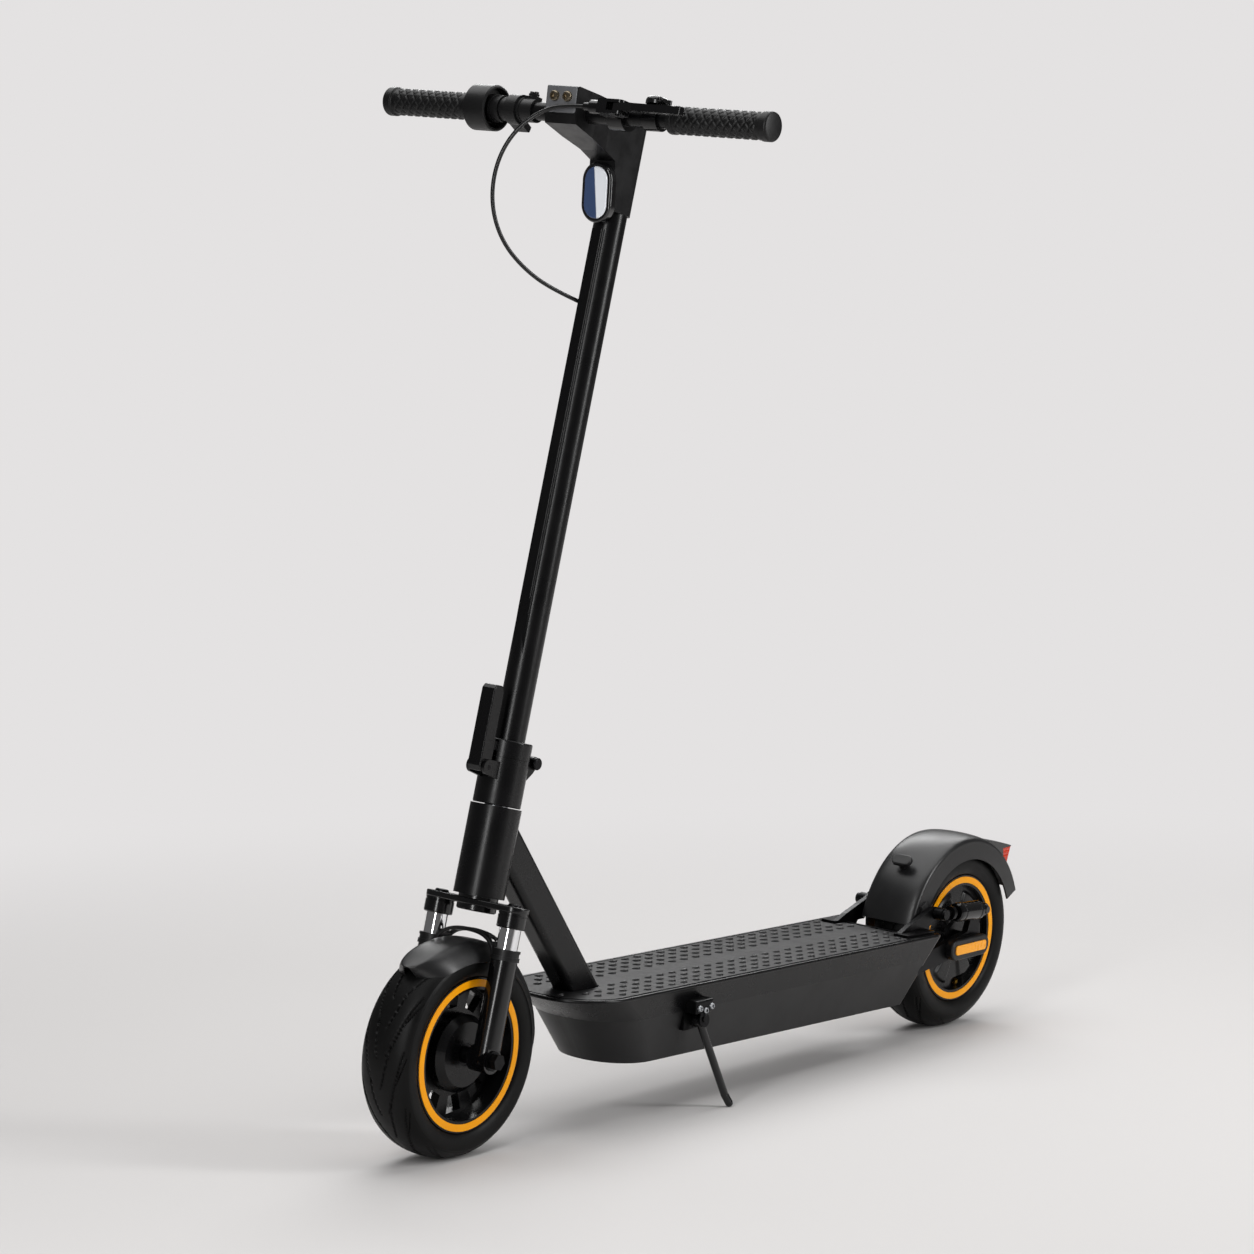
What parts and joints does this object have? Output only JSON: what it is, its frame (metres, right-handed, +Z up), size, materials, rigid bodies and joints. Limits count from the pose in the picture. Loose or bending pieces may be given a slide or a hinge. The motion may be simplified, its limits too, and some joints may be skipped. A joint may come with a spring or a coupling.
{
  "type": "electric kick scooter",
  "caption": "Folding electric kick scooter with a sprung fork, twin rear shocks on a swingarm, deck with battery tray, handlebar controls, fenders and a kickstand.",
  "frame": {"origin": "middle of the whole object's base box, on the floor, with the scooter leaning on its kickstand", "axes": "+X forward, +Y to the rider's left, +Z up"},
  "size_m": [1.3099, 0.5746, 1.2674],
  "materials": {
    "satin_black": "satin powder coat",
    "gloss_black": "semi-gloss paint",
    "head_grey": "satin",
    "chrome": "polished",
    "steel": "zinc plated",
    "black_steel": "black oxide",
    "tyre": "matte",
    "rubber": "matte",
    "plastic": "fine texture",
    "gloss_plastic": "gloss",
    "stripe": "semi-gloss",
    "reflector": "prismatic",
    "lens": "clear",
    "tail_lens": "clear red",
    "brass": "bright",
    "cable": "smooth",
    "battery": "shrink wrap"
  },
  "bodies": {
    "frame": {"head_tube": "satin_black", "headset_bearings": "steel", "down_tube": "satin_black", "deck_frame": "satin_black", "battery_tray": "plastic", "deck_mat": "rubber", "battery_pack": "battery", "controller": "satin_black", "shock_brackets": "black_steel", "stand_bracket": "black_steel"},
    "steering": {"fork_crown": "satin_black", "fork_stanchions": "chrome", "steerer_tube": "steel", "folding_base": "satin_black", "hinge_pins": "black_steel"},
    "fork_lowers": {"fork_legs": "gloss_black", "dust_seals": "rubber", "fork_brace": "plastic", "front_fender": "plastic", "front_axle": "black_steel", "axle_spacers": "steel"},
    "front_wheel": {"front_tyre": "tyre", "front_rim": "satin_black", "front_stripes": "stripe", "front_bearings": "steel"},
    "stem": {"stem_collar": "satin_black", "stem_tube": "satin_black", "cable_spine": "plastic", "stem_head": "head_grey", "headlight_bezel": "gloss_plastic", "headlight_lens": "lens", "head_bolts": "steel", "handlebar": "satin_black", "grip_left": "rubber", "grip_right": "rubber", "throttle_drum": "plastic", "switch_collar": "plastic", "brake_perch": "gloss_black", "brake_lever_pin": "steel", "bell": "gloss_black", "brake_cable": "cable"},
    "throttle": {"throttle_paddle": "plastic"},
    "rocker": {"mode_rocker": "gloss_plastic"},
    "lever": {"brake_lever": "gloss_black"},
    "hammer": {"bell_hammer": "steel"},
    "latch": {"latch_lever": "satin_black"},
    "rear_arm": {"swingarm": "black_steel", "rear_axle": "black_steel", "axle_covers": "plastic", "reflectors": "reflector", "rear_fender": "plastic", "fender_hook": "plastic", "tail_light": "tail_lens"},
    "rear_wheel": {"rear_tyre": "tyre", "rear_motor": "satin_black", "rear_stripes": "stripe", "rear_valve": "brass"},
    "shock_rod": {"shock_rods": "black_steel"},
    "shock_body": {"shock_bodies": "gloss_black"},
    "stand": {"kickstand": "gloss_black"}
  },
  "joints": [
    {"name": "steering_turn", "type": "hinge", "parent": "frame", "child": "steering", "pos_m": [0.47462, -0.06827, 0.36002], "axis": [-0.2224, 0.0765, 0.972], "range_deg": [-55, 55]},
    {"name": "fork_slide", "type": "slide", "parent": "steering", "child": "fork_lowers", "axis": [-0.2224, 0.0765, 0.972], "range_m": [0, 0.018], "stiffness_N_per_m": 9000, "springref_m": -0.03},
    {"name": "front_wheel_spin", "type": "hinge", "parent": "fork_lowers", "child": "front_wheel", "pos_m": [0.528, -0.08663, 0.12675], "axis": [0, 0.9969, -0.0785], "continuous": true},
    {"name": "stem_fold", "type": "hinge", "parent": "steering", "child": "stem", "pos_m": [0.41754, -0.06028, 0.46156], "axis": [0, 0.9969, -0.0785], "range_deg": [-90, 0]},
    {"name": "latch_turn", "type": "hinge", "parent": "steering", "child": "latch", "pos_m": [0.49692, -0.06007, 0.46428], "axis": [0, 0.9969, -0.0785], "range_deg": [0, 100]},
    {"name": "throttle_press", "type": "hinge", "parent": "stem", "child": "throttle", "pos_m": [0.38178, -0.11265, 1.23635], "axis": [0, 0.9969, -0.0785], "range_deg": [-25, 0], "stiffness_Nm_per_rad": 0.12, "springref_deg": 20.05},
    {"name": "rocker_tilt", "type": "hinge", "parent": "stem", "child": "rocker", "pos_m": [0.37764, -0.06587, 1.25086], "axis": [0.975, 0.0174, 0.2217], "range_deg": [-5, 5], "stiffness_Nm_per_rad": 0.02},
    {"name": "brake_squeeze", "type": "hinge", "parent": "stem", "child": "lever", "pos_m": [0.41936, 0.09255, 1.23085], "axis": [-0.2224, 0.0765, 0.972], "range_deg": [0, 11], "stiffness_Nm_per_rad": 0.8, "springref_deg": -17.19},
    {"name": "bell_strike", "type": "hinge", "parent": "stem", "child": "hammer", "pos_m": [0.38265, 0.13804, 1.23534], "axis": [-0.2224, 0.0765, 0.972], "range_deg": [-36, 0], "stiffness_Nm_per_rad": 0.01, "springref_deg": 17.19},
    {"name": "arm_swing", "type": "hinge", "parent": "frame", "child": "rear_arm", "pos_m": [-0.372, -0.08812, 0.10781], "axis": [0, 0.9969, -0.0785], "range_deg": [0, 5], "stiffness_Nm_per_rad": 900, "springref_deg": -2.29},
    {"name": "rear_wheel_spin", "type": "hinge", "parent": "rear_arm", "child": "rear_wheel", "pos_m": [-0.522, -0.08663, 0.12675], "axis": [0, 0.9969, -0.0785], "continuous": true},
    {"name": "shock_rod_pivot", "type": "hinge", "parent": "frame", "child": "shock_rod", "pos_m": [-0.426, -0.08263, 0.1776], "axis": [0, 0.9969, -0.0785], "range_deg": [0, 7.69]},
    {"name": "shock_stroke", "type": "slide", "parent": "shock_rod", "child": "shock_body", "axis": [0.9983, 0.0045, 0.0574], "range_m": [0, 0.00677]},
    {"name": "stand_fold", "type": "hinge", "parent": "frame", "child": "stand", "pos_m": [0.15, 0.00086, 0.11686], "axis": [0.0301, 0.9965, 0.0784], "range_deg": [0, 66]}
  ],
  "couplings": [
    {"joint": "shock_rod_pivot", "follows": "arm_swing", "ratio": 1.4788},
    {"joint": "shock_stroke", "follows": "arm_swing", "m_per_rad": 0.072994}
  ]
}
